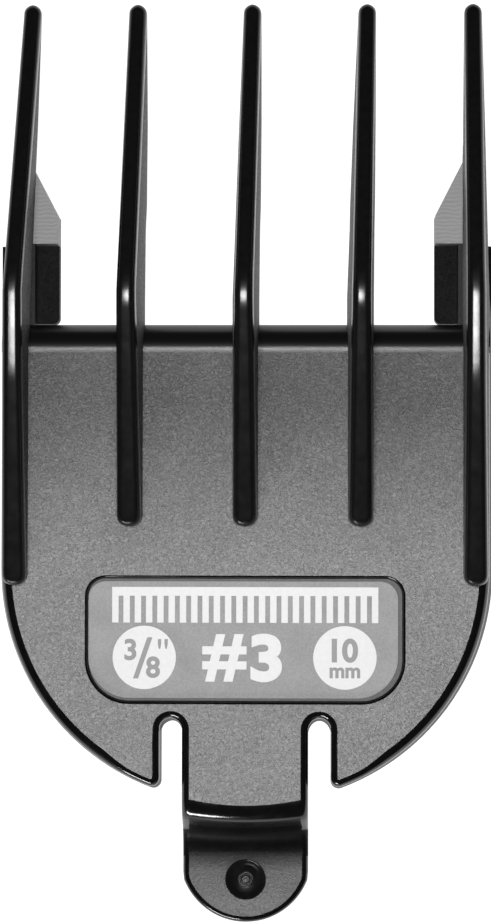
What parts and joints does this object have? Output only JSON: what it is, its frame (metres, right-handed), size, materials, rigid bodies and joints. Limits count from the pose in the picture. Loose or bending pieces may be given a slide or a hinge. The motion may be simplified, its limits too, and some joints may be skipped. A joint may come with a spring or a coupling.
{
  "type": "clipper guard comb",
  "caption": "Black moulded clipper guard comb with tall ribbed teeth, a flat plate with a recessed size label, and a springy rear latch with a thumb pad.",
  "frame": {"origin": "on the blade seat, the flat underside of the plate, at the middle of the comb's width and length", "axes": "+X across the comb, +Y towards the tips of the teeth, +Z towards the skin side"},
  "size_m": [0.0484, 0.0896, 0.0142],
  "materials": {
    "textured_plastic": "fine spark-eroded texture",
    "gloss_plastic": "polished mould face",
    "label_film": "satin film",
    "label_print": "printed ink"
  },
  "bodies": {
    "comb": {"base_plate": "textured_plastic", "front_bar": "gloss_plastic", "side_skirt_left": "textured_plastic", "side_skirt_right": "textured_plastic", "shoulder_skirt_left": "textured_plastic", "shoulder_skirt_right": "textured_plastic", "blade_shelf_left": "textured_plastic", "blade_shelf_right": "textured_plastic", "blade_stop_left": "textured_plastic", "blade_stop_right": "textured_plastic", "tooth_1": "textured_plastic", "tooth_2": "textured_plastic", "tooth_3": "textured_plastic", "tooth_4": "textured_plastic", "tooth_5": "textured_plastic", "label": "label_film", "label_disc_inch": "label_print", "label_disc_metric": "label_print"},
    "latch": {"latch_arm": "textured_plastic", "latch_step": "gloss_plastic", "latch_hook": "gloss_plastic", "thumb_pad": "textured_plastic", "gate_pip": "gloss_plastic"}
  },
  "joints": [
    {"name": "latch_flex", "type": "hinge", "parent": "comb", "child": "latch", "pos_m": [0, -0.0264, 0.001], "axis": [-1, 0, 0], "range_deg": [-3, 12], "stiffness_Nm_per_rad": 0.3}
  ]
}
